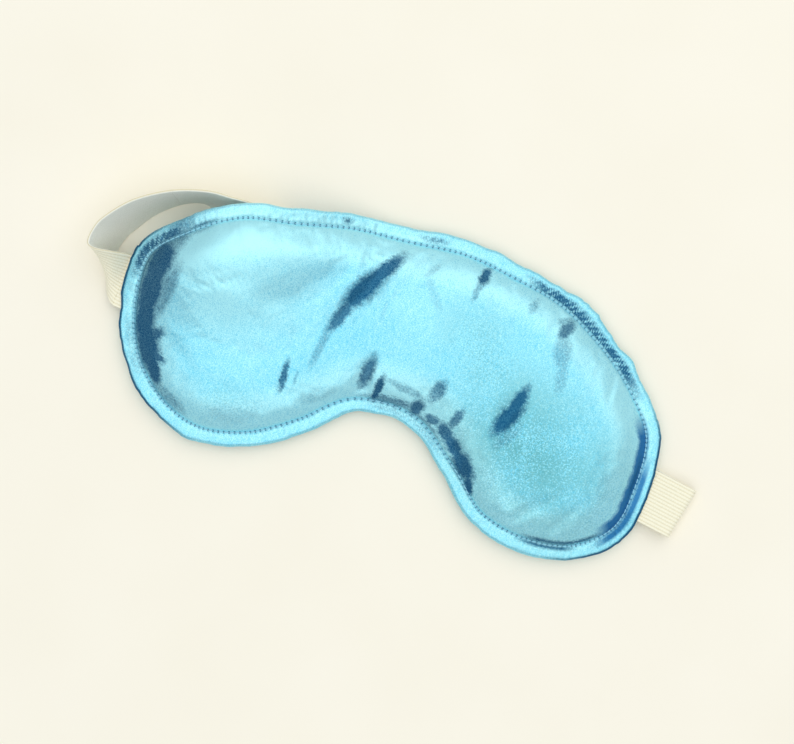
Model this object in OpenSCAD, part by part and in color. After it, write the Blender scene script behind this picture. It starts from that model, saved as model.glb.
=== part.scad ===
// Padded satin eye mask with an elastic strap, lying on its back with the strap beneath it.
// Frame: Z up from the table, X along the mask, Y towards its forehead edge. Millimetres.

/* [Mask] */
// Overall length of the padded mask
mask_l = 208; // [166:1:250]
// Overall height of the mask, forehead edge to cheek edge
mask_h = 103.5; // [83:0.5:126]
// Rise of the padded top above the flat border
puff_h = 6.4; // [3.5:0.1:9]
// Height of the seam plane above the table
seam_z = 3.7; // [3:0.1:5]

/* [Cloth] */
// Thickness of the satin
cloth_t = 0.35; // [0.25:0.05:0.5]
// Width of the seam allowance turned in at the edge
hem_w = 8; // [6.5:0.5:9]
// Thickness of the dark lining between the two layers of wadding
lining_t = 0.3; // [0.2:0.05:0.5]

/* [Stitching] */
// Distance of the topstitching from the edge
border_w = 5.5; // [4:0.25:6]
// Length of one topstitch
stitch_l = 2.5; // [2:0.1:3.5]
// Thickness of the topstitching thread
thread_d = 0.4; // [0.25:0.05:0.5]
// Distance of the hidden assembly seam from the edge
seam_in = 1.2; // [1:0.1:2]

/* [Strap] */
// Width of the elastic strap
strap_w = 20; // [16:0.5:24]
// Thickness of the elastic strap
strap_t = 1.1; // [0.8:0.1:1.4]
// Length of strap sewn inside the mask at each end
tail_l = 8; // [6:0.5:9]
// Reach of the folded strap beyond the right-hand seam
tab_out = 14; // [10:0.5:20]

/* [Lie] */
// How far the strap lifts the edge of the mask where it passes under
edge_lift = 17; // [14:0.5:22]
// Distance over which that lift dies away
lift_reach = 60; // [50:1:75]

/* [Hidden] */
NOM_L = 208;                      // length and height at which OUTLINE and LOOP were laid out
NOM_H = 103.5;
SX = mask_l / NOM_L;
SY = mask_h / NOM_H;
SPAN = 3;                         // sections between two outline points
KNIT = 0.35;                      // clearance between the strap and what it is sewn between
PLY = 0.1;                        // clearance between two plies of satin
LOOSE = 0.15;                     // clearance round the wadding and the lining
CORE = 0.15;                      // innermost ring, as a share of the way to the edge
PUFF_IN = 24;                     // distance over which the padding rises
SINK_IN = 12;                     // distance over which the underside comes down to the table
DIMPLE = 0.3;                     // depth of the stitched groove
half_t = strap_t / 2 + KNIT + 2 * cloth_t + PLY;   // half thickness of the border
clear_t = strap_t + 0.7;          // height kept free for the strap under the mask

// Edge of the mask, clockwise from its left end
OUTLINE = [
    [-103.5, 9.5], [-89.5, 24], [-72, 35.5], [-52, 41], [-32, 47], [-11.5, 49.5], [10, 52],
    [30.5, 50], [51, 46.5], [69.5, 37.5], [86, 25], [99.5, 8.5], [102.5, -12], [99.5, -32],
    [85, -46], [64.5, -50], [44, -45.5], [28.5, -32], [11.5, -20], [-9, -21.5], [-24.5, -35.5],
    [-42, -47], [-62.5, -51.5], [-81.5, -45], [-96.5, -30.5], [-104, -11.5]
];
LIFT_AT = [-75 * SX, 36 * SY];    // where the strap passes under the edge

// Strap from the left seam round the loop and under the mask:
// x, y, height of the lower edge, turn and tilt of the line across its width
LOOP = [
    [-106.3, -4.5, 3.2, 85, 14], [-110.2, -3.5, 1.2, 90, 40], [-114, -1, 0.3, 112, 64],
    [-115.8, 3, 0.2, 160, 72], [-115.2, 9, 0.2, 183, 69], [-112.8, 14.5, 0.2, 180, 68],
    [-106, 23.2, 0.2, 168, 75], [-96.2, 30.4, 0.2, 120, 84], [-86.5, 34, 0.2, 40, 77],
    [-79.5, 33.8, 0.2, 34, 62], [-70.8, 31, 0.1, 62, 44], [-64.2, 29.3, 0.05, 72, 22],
    [-56, 27.5, 0, 76, 2], [-40, 23.5, 0, 76, 0], [-5, 14.7, 0, 76, 0],
    [30, 5.9, 0, 76, 0], [65, -2.9, 0, 76, 0], [95, -10.4, 0, 76, 0], [104, -12.7, 0, 76, 0]
];
RUN_A = [-56 * SX, 27.5 * SY];    // centre line of the flat run under the mask
RUN_B = [104 * SX, -12.7 * SY];
SEAM_R = [103.1 * SX, -14.7 * SY];   // middle of the right-hand seam
SWING_YAW = 85;                   // both strap ends square to the line they swing about

// ---- small helpers ----
function unit(v) = v / norm(v);
function ease(q) = q <= 0 ? 0 : q >= 1 ? 1 : q * q * (3 - 2 * q);
function spline(a, b, c, e, t) =
    0.5 * (2 * b + (c - a) * t + (2 * a - 5 * b + 4 * c - e) * t * t
    + (3 * b - 3 * c + e - a) * t * t * t);
function run_sum(v, i = 0, s = 0) = i == len(v) ? [s] : concat([s], run_sum(v, i + 1, s + v[i]));

// ---- outline and the inward line from each of its points ----
NO = len(OUTLINE);
NR = NO * SPAN;
function outline_at(i) = let (p = OUTLINE[(i + NO) % NO]) [p[0] * SX, p[1] * SY];
RIM = [
    for (i = [0 : NO - 1], k = [0 : SPAN - 1])
        spline(outline_at(i - 1), outline_at(i), outline_at(i + 1), outline_at(i + 2), k / SPAN)
];
SPINE_X = 58 * SX;
function spine_y(x) = SY * (15 - 19.5 * pow(x / SPINE_X, 2));
function on_top(i) = i < 12.5 * SPAN;
function spine_for(i) =
    let (x = max(-SPINE_X, min(SPINE_X, RIM[i][0] * (on_top(i) ? 0.65 : 1.8))))
    [x, spine_y(x)];
DEPTH = [for (i = [0 : NR - 1]) norm(spine_for(i) - RIM[i])];
INWARD = [for (i = [0 : NR - 1]) (spine_for(i) - RIM[i]) / DEPTH[i]];
function reach(i, d) = min(d, DEPTH[i] * (1 - CORE));
function plan(i, d) = RIM[i] + INWARD[i] * reach(i, d);

// ---- heights ----
function lift(p) =
    let (q = norm([p[0], p[1]] - LIFT_AT) / lift_reach)
    q < 1 ? edge_lift * pow(1 - q * q, 2) : 0;
function run_off(p) =
    let (a = RUN_B - RUN_A, t = max(-0.1, min(1.2, ([p[0], p[1]] - RUN_A) * a / (a * a))))
    norm([p[0], p[1]] - RUN_A - a * t);
function ridge(p) = clear_t * (1 - ease((run_off(p) - strap_w / 2 - 2.5) / 7));
function mid_z(p) = seam_z + lift(p);

// half gap between the two turned-in edges: open where a strap end passes between them
function in_end(p) =
    let (off = min(norm([p[0], p[1]] - END_L), norm([p[0], p[1]] - END_R)))
    1 - ease((off - strap_w / 2 - 5) / 4);
END_L = [LOOP[0][0] * SX, LOOP[0][1] * SY];
END_R = SEAM_R;
function gape(p) = PLY / 2 + (strap_t / 2 + KNIT - PLY / 2) * in_end(p);

function roll(d) = sqrt(1 - pow(1 - min(d, half_t) / half_t, 2));
function groove(d) = DIMPLE * (1 - ease(abs(d - border_w) / 1.6));
function swell(d) = d < border_w ? 0 : 1 - pow(1 - min(1, (d - border_w) / PUFF_IN), 2.2);
function sink(d) = ease((d - border_w) / SINK_IN);
function top_z(p, d) =
    mid_z(p) + gape(p) + (half_t - gape(p)) * roll(d) - groove(d) + puff_h * swell(d)
    + 0.4 * ridge(p) * sink(d);
function base_z(p, d) =
    let (z = seam_z - gape(p) - (half_t - gape(p)) * roll(d) + groove(d))
    z * (1 - sink(d));
function bottom_z(p, d) = lift(p) + max(base_z(p, d), ridge(p));
function core_z(p, d) = 0.55 * bottom_z(p, d) + 0.45 * top_z(p, d);

// ---- closed solids from rings ----
// a ring is one closed line of points, one per section, at one depth from the edge
function top_ring(d, down) = [for (i = [0 : NR - 1])
    let (p = plan(i, d), e = reach(i, d)) [p[0], p[1], top_z(p, e) - down]];
function bottom_ring(d, up) = [for (i = [0 : NR - 1])
    let (p = plan(i, d), e = reach(i, d)) [p[0], p[1], bottom_z(p, e) + up]];
function core_ring(d, up) = [for (i = [0 : NR - 1])
    let (p = plan(i, d), e = reach(i, d)) [p[0], p[1], core_z(p, e) + up]];
function hem_ring(d, side, in) = [for (i = [0 : NR - 1])
    let (p = plan(i, d)) [p[0], p[1], mid_z(p) + side * (gape(p) + in)]];

// both ways of cutting each four-cornered cell, so that layers which face each other match
function band(n, a, b, other = false) = [
    for (i = [0 : n - 1])
        let (p = a * n + i, q = a * n + (i + 1) % n, r = b * n + i, t = b * n + (i + 1) % n)
        each other ? [[p, q, t], [p, t, r]] : [[p, q, r], [q, t, r]]
];
LEFT_I = 0;
RIGHT_I = 12 * SPAN;
TOP_CHAIN = [for (i = [LEFT_I : RIGHT_I]) i];
LOW_CHAIN = concat([LEFT_I], [for (i = [NR - 1 : -1 : RIGHT_I]) i]);
// strip of triangles across the innermost ring, walked from left to right
function zip(ring, i = 0, j = 0) =
    let (ti = len(TOP_CHAIN) - 1, lj = len(LOW_CHAIN) - 1)
    i == ti && j == lj ? [] :
    let (a = TOP_CHAIN[i], b = LOW_CHAIN[j],
         go_top = j == lj || (i < ti && ring[TOP_CHAIN[i + 1]][0] <= ring[LOW_CHAIN[j + 1]][0]),
         c = go_top ? TOP_CHAIN[i + 1] : LOW_CHAIN[j + 1],
         rest = go_top ? zip(ring, i + 1, j) : zip(ring, i, j + 1))
    a == b || c == a || c == b ? rest : concat([[a, c, b]], rest);
function shifted(faces, by) = [for (f = faces) [f[0] + by, f[1] + by, f[2] + by]];
function turned(faces) = [for (f = faces) [f[0], f[2], f[1]]];

// rings run from the middle of the top outwards, round the edge and back along the underside,
// which starts at ring number under
module quilt(rings, under) {
    last = len(rings) - 1;
    polyhedron(
        points = [for (r = rings) each r],
        faces = concat(
            zip(rings[0]),
            [for (k = [0 : last - 1]) each turned(band(NR, k, k + 1, k >= under))],
            turned(shifted(zip(rings[last]), last * NR))
        )
    );
}

// closed tube through a loop of points
module thread_loop(path, r) {
    n = len(path);
    function along(i) = unit(path[(i + 1) % n] - path[(i + n - 1) % n]);
    function side(i) = unit(cross(along(i), [0, 0, 1]));
    pts = [
        for (i = [0 : n - 1])
            let (s = side(i), u = cross(s, along(i)))
            each [path[i] + r * s, path[i] + r * u, path[i] - r * s, path[i] - r * u]
    ];
    faces = [
        for (i = [0 : n - 1], k = [0 : 3])
            let (a = 4 * i + k, b = 4 * i + (k + 1) % 4,
                 c = 4 * ((i + 1) % n) + k, e = 4 * ((i + 1) % n) + (k + 1) % 4)
            each [[a, c, b], [b, c, e]]
    ];
    polyhedron(points = pts, faces = faces);
}

// ---- stitch line, divided into equal stitches ----
STITCH_XY = [for (i = [0 : NR]) plan(i % NR, border_w)];
STITCH_S = run_sum([for (i = [0 : NR - 1]) norm(STITCH_XY[i + 1] - STITCH_XY[i])]);
STITCHES = round(STITCH_S[NR] / stitch_l);
STITCH_X = [for (i = [0 : NR]) [STITCH_S[i], STITCH_XY[i][0]]];
STITCH_Y = [for (i = [0 : NR]) [STITCH_S[i], STITCH_XY[i][1]]];
// side is 1 for the needle thread on the front, -1 for the bobbin thread on the back
function stitch_path(side) = [
    for (j = [0 : STITCHES - 1], f = [0, 0.25, 0.75])
        let (s = (j + f) * STITCH_S[NR] / STITCHES,
             p = [lookup(s, STITCH_X), lookup(s, STITCH_Y)],
             face = side > 0 ? top_z(p, border_w) : bottom_z(p, border_w))
        [p[0], p[1], f == 0 ? mid_z(p) + side * 0.4 * thread_d : face + side * 0.3 * thread_d]
];

// ---- strap ----
function crossways(yaw, tilt) = [cos(tilt) * cos(yaw), cos(tilt) * sin(yaw), sin(tilt)];
function loop_mid(s) =
    [s[0] * SX, s[1] * SY, s[2] + strap_w / 2 * sin(s[4]) + strap_t / 2 * cos(s[4])];
NL = len(LOOP);
function pick(i) = LOOP[max(0, min(NL - 1, i))];
LOOP_RINGS = [
    for (i = [0 : NL - 2], k = [0 : i < 12 ? 2 : 0])
        let (t = k / 3,
             s = [pick(i - 1), pick(i), pick(i + 1), pick(i + 2)],
             m = [for (q = s) loop_mid(q)],
             w = [for (q = s) crossways(q[3], q[4])])
        [spline(m[0], m[1], m[2], m[3], t), unit(spline(w[0], w[1], w[2], w[3], t))]
];
// fold at the right-hand end and the upper layer back to the seam
tab_lean = -8;                    // heading of the tab beyond the seam
tab_z = seam_z + 0.7;             // middle of the upper layer at the fold
fold_r = (tab_z - strap_t / 2) / 2;
FOLD_AT = SEAM_R + tab_out * [cos(tab_lean), sin(tab_lean)];
FOLD_RINGS = [
    for (a = [-90 : 30 : 90])
        [[FOLD_AT[0] - fold_r * (1 - cos(a)) * cos(tab_lean),
          FOLD_AT[1] - fold_r * (1 - cos(a)) * sin(tab_lean),
          strap_t / 2 + fold_r * (1 + sin(a))],
         crossways(78, 0)]
];
function tab_ring(f) =
    [[SEAM_R[0] + f * (FOLD_AT[0] - SEAM_R[0]), SEAM_R[1] + f * (FOLD_AT[1] - SEAM_R[1]),
      seam_z + (tab_z - seam_z) * ease(1.3 * f)],
     crossways(SWING_YAW - 7 * f, 0)];
TAB_RINGS = [for (f = [0.7, 0.5, 0.3, 0.15, 0]) tab_ring(f)];
STRAP_RINGS = concat(LOOP_RINGS, FOLD_RINGS, TAB_RINGS);

// eight-cornered woven band carried along rings of [middle, direction across]
module woven_band(rings) {
    n = len(rings);
    function along(i) = unit(rings[min(n - 1, i + 1)][0] - rings[max(0, i - 1)][0]);
    h = strap_w / 2;
    q = strap_t / 2;
    b = 0.35 * strap_t;           // rounded-off corner
    section = [[-h, -q + b], [-h, q - b], [-h + b, q], [h - b, q],
        [h, q - b], [h, -q + b], [h - b, -q], [-h + b, -q]];
    pts = [
        for (i = [0 : n - 1])
            let (w = rings[i][1], up = unit(cross(along(i), w)))
            for (c = section) rings[i][0] + c[0] * w + c[1] * up
    ];
    fan = [for (k = [1 : 6]) [0, k, k + 1]];
    polyhedron(
        points = pts,
        faces = concat(
            fan,
            [for (k = [0 : n - 2]) each turned(band(8, k, k + 1))],
            turned(shifted(fan, 8 * (n - 1)))
        )
    );
}

// sewn-in end: a slab that follows the seam plane, from its outer edge inwards
module sewn_end(at, dir) {
    nu = 6;
    out = 0.6;                    // gap to the free strap
    steps = [out, out + 1.5, out + tail_l / 2, out + tail_l];
    w = [cos(SWING_YAW), sin(SWING_YAW)];
    v = dir * [sin(SWING_YAW), -cos(SWING_YAW)];
    grid = [
        for (s = steps, u = [0 : nu])
            let (p = at + v * s + w * strap_w * 0.485 * (2 * u / nu - 1)) [p[0], p[1], mid_z(p)]
    ];
    m = nu + 1;
    rows = len(steps);
    cells = [
        for (r = [0 : rows - 2], u = [0 : nu - 1])
            let (a = r * m + u) each [[a, a + m, a + 1], [a + 1, a + m, a + m + 1]]
    ];
    edge = concat(
        [for (u = [0 : nu - 1]) u],
        [for (r = [0 : rows - 2]) r * m + nu],
        [for (u = [nu : -1 : 1]) (rows - 1) * m + u],
        [for (r = [rows - 1 : -1 : 1]) r * m]
    );
    total = rows * m;
    ne = len(edge);
    wall = [
        for (k = [0 : ne - 1])
            let (a = edge[k], b = edge[(k + 1) % ne])
            each [[a, b, a + total], [b, b + total, a + total]]
    ];
    up = strap_t / 2;
    all_faces = concat(cells, turned(shifted(cells, total)), wall);
    polyhedron(
        points = concat([for (p = grid) p + [0, 0, up]], [for (p = grid) p - [0, 0, up]]),
        faces = dir > 0 ? all_faces : turned(all_faces)
    );
}

// ---- the pieces ----
pad_in = max(hem_w, tail_l) + 1.2;   // edge of the wadding, clear of hems and strap ends
between = (pad_in + border_w) / 2;
HEART = [2 * DEPTH[0], 26, 18];   // depths shared by every layer, from the middle outwards
FACE_D = concat(HEART, [13, pad_in, between, border_w, 4, half_t, 0.45]);
BACK_D = concat(HEART, [14, 11.5, pad_in, border_w, 4, half_t, 0.45]);
fold_in = 1;                      // where the slit between the plies begins

module front_panel() color("SkyBlue") quilt(concat(
    [for (d = FACE_D) top_ring(d, 0)],
    [hem_ring(0, 1, 0), hem_ring(hem_w, 1, 0), hem_ring(hem_w, 1, cloth_t),
     hem_ring(fold_in, 1, cloth_t)],
    [for (k = [8 : -1 : 0]) top_ring(FACE_D[k], cloth_t)]
), 12);

module back_panel() color("LightSteelBlue") quilt(concat(
    [for (k = [0 : 8]) bottom_ring(BACK_D[k], cloth_t)],
    [hem_ring(fold_in, -1, cloth_t), hem_ring(hem_w, -1, cloth_t), hem_ring(hem_w, -1, 0),
     hem_ring(0, -1, 0)],
    [for (k = [9 : -1 : 0]) bottom_ring(BACK_D[k], 0)]
), 11);

CORE_D = concat(HEART, [13, pad_in]);
CORE_OUT = [for (k = [4 : -1 : 0]) CORE_D[k]];
pad_gap = lining_t / 2 + LOOSE;   // from the middle of the lining to the wadding
pad_lip = 0.3;                    // blunt edge of the wadding

module front_wadding() color("WhiteSmoke") quilt(concat(
    [for (k = [0 : 4]) top_ring(FACE_D[k], cloth_t + LOOSE)],
    [core_ring(pad_in, pad_gap + pad_lip)],
    [for (d = CORE_OUT) core_ring(d, pad_gap)]
), 5);

module back_wadding() color("Gainsboro") quilt(concat(
    [for (d = CORE_D) core_ring(d, -pad_gap)],
    [core_ring(pad_in, -pad_gap - pad_lip)],
    [for (k = [5 : -1 : 0]) bottom_ring(BACK_D[k], cloth_t + LOOSE)]
), 5);

module blackout_lining() color("DimGray") quilt(concat(
    [for (d = CORE_D) core_ring(d, lining_t / 2)],
    [for (d = CORE_OUT) core_ring(d, -lining_t / 2)]
), 4);

module seam_thread() color("Ivory") thread_loop(
    [for (i = [0 : NR - 1]) let (p = plan(i, seam_in)) [p[0], p[1], mid_z(p)]], 0.4 * thread_d);

module needle_thread() color("White") thread_loop(stitch_path(1), thread_d / 2);

module bobbin_thread() color("White") thread_loop(stitch_path(-1), thread_d / 2);

module strap_end_left() color("Linen") sewn_end(END_L, 1);

module strap_end_right() color("Linen") sewn_end(END_R, -1);

module elastic_strap() color("OldLace") woven_band(STRAP_RINGS);

front_panel();
back_panel();
front_wadding();
back_wadding();
blackout_lining();
seam_thread();
needle_thread();
bobbin_thread();
strap_end_left();
strap_end_right();
elastic_strap();
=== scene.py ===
import math

import bpy
import numpy as np
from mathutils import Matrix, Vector


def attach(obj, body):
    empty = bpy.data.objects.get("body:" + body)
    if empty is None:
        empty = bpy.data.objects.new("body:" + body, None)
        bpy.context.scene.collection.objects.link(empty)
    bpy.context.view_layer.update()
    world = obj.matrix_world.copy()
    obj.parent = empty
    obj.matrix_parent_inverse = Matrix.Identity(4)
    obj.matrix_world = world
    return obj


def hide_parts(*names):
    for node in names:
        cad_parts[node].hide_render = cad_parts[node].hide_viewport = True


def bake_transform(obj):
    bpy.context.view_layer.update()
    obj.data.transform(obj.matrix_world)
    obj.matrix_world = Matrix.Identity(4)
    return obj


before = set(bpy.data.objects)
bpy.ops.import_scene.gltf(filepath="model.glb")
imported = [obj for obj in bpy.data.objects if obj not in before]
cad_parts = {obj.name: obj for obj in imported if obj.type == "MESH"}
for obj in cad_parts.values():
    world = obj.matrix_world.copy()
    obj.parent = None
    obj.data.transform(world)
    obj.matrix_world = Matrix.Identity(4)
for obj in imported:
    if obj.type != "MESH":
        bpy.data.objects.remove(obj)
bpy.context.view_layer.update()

MM = 0.001

# ---------------------------------------------------------------- sizes, in millimetres
SEAM_Z = 3.7            # height of the seam plane above the table
PUFF = 6.4              # rise of the padded top above the flat border
SATIN = 0.35            # thickness of the satin
LINING = 0.3            # blackout lining
BORDER = 5.5            # topstitching, in from the edge
STITCH = 2.0            # length of one topstitch
THREAD = 0.42           # thickness of the topstitching thread
BAND_W = 20.0           # elastic strap
BAND_T = 1.1
EDGE_LIFT = 17.0        # lift of the edge where the strap passes under it
LIFT_REACH = 60.0
KNIT = 0.35             # room between the strap and what it is sewn between
PLY = 0.1               # room between two plies of satin
LOOSE = 0.15            # room round the lining
HALF = BAND_T / 2 + KNIT + 2 * SATIN + PLY      # half thickness of the border
TAIL = 8.0
SEAM_IN = 1.2           # hidden seam, in from the edge
SEAM_STITCH = 2.5
PAD_IN = 9.2            # edge of the wadding
PUFF_IN = 24.0
SINK_IN = 12.0
CLEAR = BAND_T + 0.7    # room kept for the strap under the mask

OUTLINE = np.array([
    [-103.5, 9.5], [-89.5, 24], [-72, 35.5], [-52, 41], [-32, 47], [-11.5, 49.5], [10, 52],
    [30.5, 50], [51, 46.5], [69.5, 37.5], [86, 25], [99.5, 8.5], [102.5, -12], [99.5, -32],
    [85, -46], [64.5, -50], [44, -45.5], [28.5, -32], [11.5, -20], [-9, -21.5], [-24.5, -35.5],
    [-42, -47], [-62.5, -51.5], [-81.5, -45], [-96.5, -30.5], [-104, -11.5]])
LIFT_AT = np.array([-75.0, 36.0])
# strap from the left seam round the loop and under the mask:
# x, y, height of the lower edge, turn and tilt of the line across its width
LOOP = np.array([
    [-106.3, -4.5, 3.2, 85, 14], [-110.2, -3.5, 1.2, 90, 40], [-114, -1, 0.3, 112, 64],
    [-115.8, 3, 0.2, 160, 72], [-115.2, 9, 0.2, 183, 69], [-112.8, 14.5, 0.2, 180, 68],
    [-106, 23.2, 0.2, 168, 75], [-96.2, 30.4, 0.2, 120, 84], [-86.5, 34, 0.2, 40, 77],
    [-79.5, 33.8, 0.2, 34, 62], [-70.8, 31, 0.1, 62, 44], [-64.2, 29.3, 0.05, 72, 22],
    [-56, 27.5, 0, 76, 2], [-40, 23.5, 0, 76, 0], [-5, 14.7, 0, 76, 0],
    [30, 5.9, 0, 76, 0], [65, -2.9, 0, 76, 0], [95, -10.4, 0, 76, 0], [104, -12.7, 0, 76, 0]])
LOOP_CUT = 7            # the row of LOOP where the first length of the loop ends
RUN_A = np.array([-56.0, 27.5])
RUN_B = np.array([104.0, -12.7])
END_L = LOOP[0, :2]
END_R = np.array([103.1, -14.7])
SWING_YAW = 85.0
TAB_OUT = 14.0
TAB_LEAN = -8.0


# ---------------------------------------------------------------- helpers
def ease(q):
    q = np.clip(q, 0.0, 1.0)
    return q * q * (3 - 2 * q)


def spline(a, b, c, e, t):
    return 0.5 * (2 * b + (c - a) * t + (2 * a - 5 * b + 4 * c - e) * t * t
                  + (3 * b - 3 * c + e - a) * t * t * t)


def unit(v):
    return v / np.linalg.norm(v, axis=-1, keepdims=True)


def ring_smooth(v, sigma):
    """Gaussian smoothing of values given round a closed line."""
    r = int(3 * sigma)
    k = np.exp(-0.5 * (np.arange(-r, r + 1) / sigma) ** 2)
    k /= k.sum()
    out = np.zeros_like(v)
    for j, w in zip(range(-r, r + 1), k):
        out += w * np.roll(v, j, axis=0)
    return out


class Cloud:
    """Smooth random field on a plane, the same each run."""

    def __init__(self, seed, cell, size=512):
        self.cell = cell
        self.grid = np.random.default_rng(seed).uniform(-1, 1, (size, size))
        self.size = size

    def __call__(self, x, y):
        u = x / self.cell
        v = y / self.cell
        i = np.floor(u).astype(int)
        j = np.floor(v).astype(int)
        fu = ease(u - i)
        fv = ease(v - j)
        g = self.grid
        n = self.size
        a = g[i % n, j % n] * (1 - fu) + g[(i + 1) % n, j % n] * fu
        b = g[i % n, (j + 1) % n] * (1 - fu) + g[(i + 1) % n, (j + 1) % n] * fu
        return a * (1 - fv) + b * fv


def new_piece(name, points, faces, material, smooth=True):
    """A mesh object from points in millimetres."""
    mesh = bpy.data.meshes.new(name)
    points = np.asarray(points, float) * MM
    mesh.from_pydata(points.tolist(), [], faces.tolist() if hasattr(faces, "tolist") else faces)
    mesh.validate()
    mesh.polygons.foreach_set("use_smooth", [smooth] * len(mesh.polygons))
    mesh.materials.append(material)
    mesh.update()
    obj = bpy.data.objects.new(name, mesh)
    bpy.context.scene.collection.objects.link(obj)
    return obj


def add_number(obj, name, values):
    """A number at each point, for the materials to read."""
    att = obj.data.attributes.new(name, "FLOAT", "POINT")
    att.data.foreach_set("value", np.asarray(values, np.float32))


# ---------------------------------------------------------------- outline
SPANS = 42              # points between two outline points
NR = len(OUTLINE) * SPANS


def rim_line(spans):
    n = len(OUTLINE)
    t = (np.arange(spans) / spans)[:, None]
    rows = [spline(OUTLINE[i - 1], OUTLINE[i], OUTLINE[(i + 1) % n], OUTLINE[(i + 2) % n], t)
            for i in range(n)]
    return np.concatenate(rows)


RIM = rim_line(SPANS)


def spine_y(x):
    return 15 - 19.5 * (x / 58.0) ** 2


def spine_points(rim, spans):
    top = np.arange(len(rim)) < 12.5 * spans
    x = np.clip(rim[:, 0] * np.where(top, 0.65, 1.8), -58, 58)
    x = ring_smooth(x, 0.35 * spans)
    return np.stack([x, spine_y(x)], 1)


def frame_of(rim, spans):
    """Inward normal, line to the spine and its length, at each point of the rim."""
    along = unit(np.roll(rim, -1, 0) - np.roll(rim, 1, 0))
    normal = np.stack([along[:, 1], -along[:, 0]], 1)
    to = spine_points(rim, spans) - rim
    depth = np.linalg.norm(to, axis=1)
    return normal, to / depth[:, None], depth


NORMAL, RAY, DEPTH = frame_of(RIM, SPANS)
EDGE_LEN = np.cumsum(np.linalg.norm(np.roll(RIM, -1, 0) - RIM, axis=1))[-1]


def narrowness(p):
    """How the sewn border narrows in the notch and widens at the upper right."""
    notch = np.exp(-((p[:, 0] - 12) / 26) ** 2 - ((p[:, 1] + 22) / 15) ** 2)
    shoulder = np.exp(-((p[:, 0] - 62) / 24) ** 2 - ((p[:, 1] - 40) / 16) ** 2)
    return 1 - 0.36 * notch + 0.16 * shoulder


BORDER_REACH = 16.0     # beyond this the border's width no longer matters


def plan(rim, normal, ray, depth, d, deep=0.0):
    """Points d in from the edge, as the border's width counts it, or a share of the rest of
    the way to the spine."""
    real = np.full(len(rim), float(d))
    for _ in range(5):
        k = narrowness(rim + real[:, None] * normal)
        real = d * (k + (1 - k) * ease(real / BORDER_REACH))
    dist = real + deep * (depth - real)
    w = ease((dist - 7.0) / (0.5 * depth))[:, None]
    return rim + dist[:, None] * ((1 - w) * normal + w * ray)


def edge_distance(p, step=1):
    """Distance to the edge and the place along it, for points inside."""
    line = RIM[::step]
    nxt = np.roll(line, -1, 0)
    seg = nxt - line
    length2 = (seg ** 2).sum(1)
    out = np.empty(len(p))
    for a in range(0, len(p), 2000):
        q = p[a:a + 2000]
        rel = q[:, None, :] - line[None]
        t = np.clip((rel * seg[None]).sum(2) / length2, 0, 1)
        gap = rel - t[..., None] * seg[None]
        out[a:a + 2000] = np.sqrt((gap ** 2).sum(2).min(1))
    k = narrowness(p)
    return out / (k + (1 - k) * ease(out / BORDER_REACH))


# ---------------------------------------------------------------- heights
def lift(p):
    q = np.linalg.norm(p[..., :2] - LIFT_AT, axis=-1) / LIFT_REACH
    return np.where(q < 1, EDGE_LIFT * (1 - q * q) ** 2, 0.0)


def ridge(p):
    a = RUN_B - RUN_A
    t = np.clip(((p[..., :2] - RUN_A) @ a) / (a @ a), -0.1, 1.2)
    off = np.linalg.norm(p[..., :2] - RUN_A - t[..., None] * a, axis=-1)
    return CLEAR * (1 - ease((off - BAND_W / 2 - 2.5) / 7))


def swelling(p):
    """The strap underneath, felt only faintly through the padding."""
    a = RUN_B - RUN_A
    t = np.clip(((p[..., :2] - RUN_A) @ a) / (a @ a), 0.0, 1.0)
    off = np.linalg.norm(p[..., :2] - RUN_A - t[..., None] * a, axis=-1)
    return CLEAR * np.exp(-(off / 24) ** 2)


def gape(p):
    off = np.minimum(np.linalg.norm(p[..., :2] - END_L, axis=-1),
                     np.linalg.norm(p[..., :2] - END_R, axis=-1))
    return 0.05 + (BAND_T / 2 + 0.3) * (1 - ease((off - BAND_W / 2 - 5) / 4))


def roll(d):
    q = 1 - np.minimum(d, HALF) / HALF
    return np.sqrt(np.clip(1 - q * q, 0, 1))


def swell(d):
    q = np.clip((d - BORDER) / PUFF_IN, 0, 1)
    return 1 - (1 - q) ** 3.0


def sink(d):
    return ease((d - BORDER) / SINK_IN)


def groove(d):
    return 0.45 * np.exp(-((d - BORDER) / 0.75) ** 2)


def mid_z(p):
    return SEAM_Z + lift(p)


def top_z(p, d):
    g = gape(p)
    return (mid_z(p) + g + (HALF - g) * roll(d) - groove(d) + PUFF * swell(d)
            + 0.35 * swelling(p) * sink(d))


def bottom_z(p, d):
    g = gape(p)
    base = (SEAM_Z - g - (HALF - g) * roll(d) + groove(d)) * (1 - sink(d))
    r = ridge(p)
    both = 0.5 * (base + r + np.sqrt((base - r) ** 2 + 0.04)) - 0.1 * (1 - sink(d))
    return lift(p) + np.maximum(both - 0.1, 0.0)


# creases pressed into the padded front: from, to, half width, depth, ridge beside it
CREASES = [
    ((-11.5, 37), (-29, 1), 3.6, 1.15, -0.5),
    ((-37.8, -11), (-37.3, -24), 1.7, 0.55, 0.4),
    ((-9, 1), (-10.5, -15), 2.6, 0.9, 0.4),
    ((-3.5, -6), (-4.8, -15.5), 1.6, 0.6, 0.4),
    ((17.5, -1), (16, -8), 2.2, 0.55, 0.3),
    ((12.5, -10), (11, -16), 2.2, 0.6, 0.3),
    ((23.5, -13), (39, -33), 3.4, 1.0, -0.5),
    ((47.5, 7.5), (41, -12), 3.6, 1.2, 0.5),
    ((20.3, 44), (18.5, 37), 2.4, 0.7, 0.3),
    ((55.5, 35), (52.5, 27), 2.2, 0.4, 0.3),
]


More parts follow.
